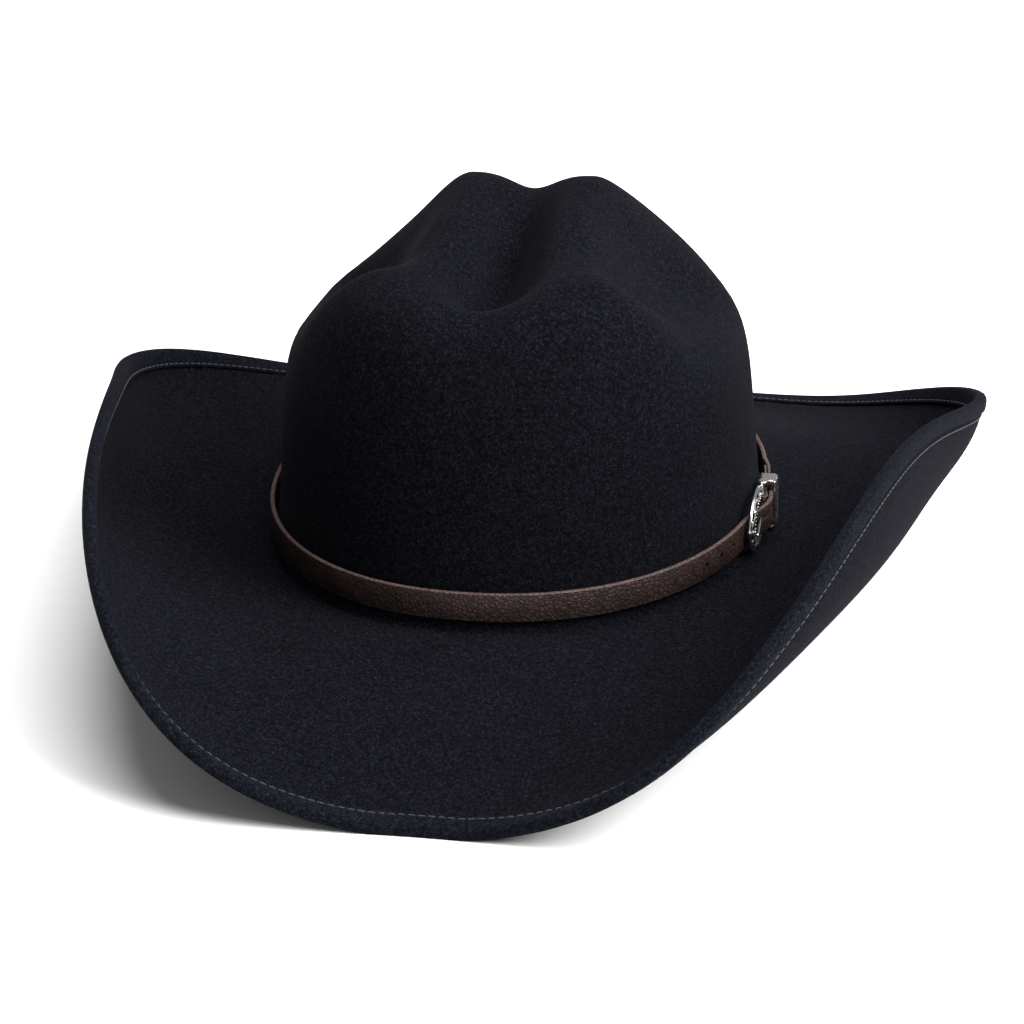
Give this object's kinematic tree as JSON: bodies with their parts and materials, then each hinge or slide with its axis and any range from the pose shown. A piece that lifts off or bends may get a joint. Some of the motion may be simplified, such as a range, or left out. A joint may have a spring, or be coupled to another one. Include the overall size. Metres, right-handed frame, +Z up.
{
  "type": "cowboy hat",
  "caption": "Western felt hat with a creased crown, a wired and bound brim curled up at the sides, and a leather hatband that closes with a hinged ring buckle.",
  "frame": {"origin": "centre of the hat's length and width, at the level of the table it stands on", "axes": "+Z up; the front of the hat points along -Y; +X is the wearer's left, the buckle side; +Y is the longest direction"},
  "size_m": [0.3268, 0.3942, 0.1457],
  "materials": {
    "crown_felt": "matte pressed fur felt",
    "brim_felt": "matte pressed fur felt",
    "edge_binding": "matte felt strip folded over the edge",
    "spring_wire": "drawn steel wire",
    "wire_sleeve": "plain crimped tube",
    "needle_thread": "sewing thread",
    "bobbin_thread": "sewing thread",
    "band_leather": "grained, half gloss, lighter cut edges",
    "rivet_metal": "polished",
    "keeper_metal": "polished white metal",
    "buckle_metal": "engraved white metal with darkened recesses",
    "bar_metal": "polished",
    "prong_metal": "polished",
    "sweatband_leather": "smooth, half gloss",
    "reed_plastic": "smooth",
    "reed_tape_cloth": "woven tape",
    "sweatband_stitches": "sewing thread",
    "seam_tape_leather": "smooth",
    "bow_ribbon": "narrow satin ribbon",
    "label_cloth": "woven label",
    "lining_satin": "satin",
    "lining_top_satin": "satin",
    "tip_shield_film": "clear film"
  },
  "bodies": {
    "hat_body": {"felt_crown": "crown_felt", "felt_brim": "brim_felt", "brim_binding": "edge_binding", "brim_wire": "spring_wire", "brim_wire_sleeve": "wire_sleeve", "brim_needle_thread": "needle_thread", "brim_bobbin_thread": "bobbin_thread", "sweatband": "sweatband_leather", "sweatband_reed": "reed_plastic", "reed_tape": "reed_tape_cloth", "sweatband_thread": "sweatband_stitches", "sweatband_seam_tape": "seam_tape_leather", "sweatband_bow": "bow_ribbon", "size_label": "label_cloth", "lining_side": "lining_satin", "lining_top": "lining_top_satin", "lining_tip_shield": "tip_shield_film"},
    "hatband": {"hatband_strap": "band_leather", "chape_rivet": "rivet_metal"},
    "buckle_frame": {"buckle_ring": "buckle_metal", "buckle_bar": "bar_metal"},
    "prong": {"buckle_prong": "prong_metal"},
    "keeper": {"keeper_loop": "keeper_metal"}
  },
  "joints": [
    {"name": "hatband_slide", "type": "slide", "parent": "hat_body", "child": "hatband", "axis": [0, 0, 1], "range_m": [0, 0.13]},
    {"name": "buckle_hinge", "type": "hinge", "parent": "hatband", "child": "buckle_frame", "pos_m": [0.08814, -0.00481, 0.0378], "axis": [0, 0, 1], "range_deg": [0, 60]},
    {"name": "prong_hinge", "type": "hinge", "parent": "buckle_frame", "child": "prong", "pos_m": [0.08814, -0.00481, 0.0378], "axis": [0, 0, 1], "range_deg": [0, 30]},
    {"name": "keeper_slide", "type": "slide", "parent": "hatband", "child": "keeper", "axis": [0.0052, 1, 0], "range_m": [0, 0.004]}
  ]
}
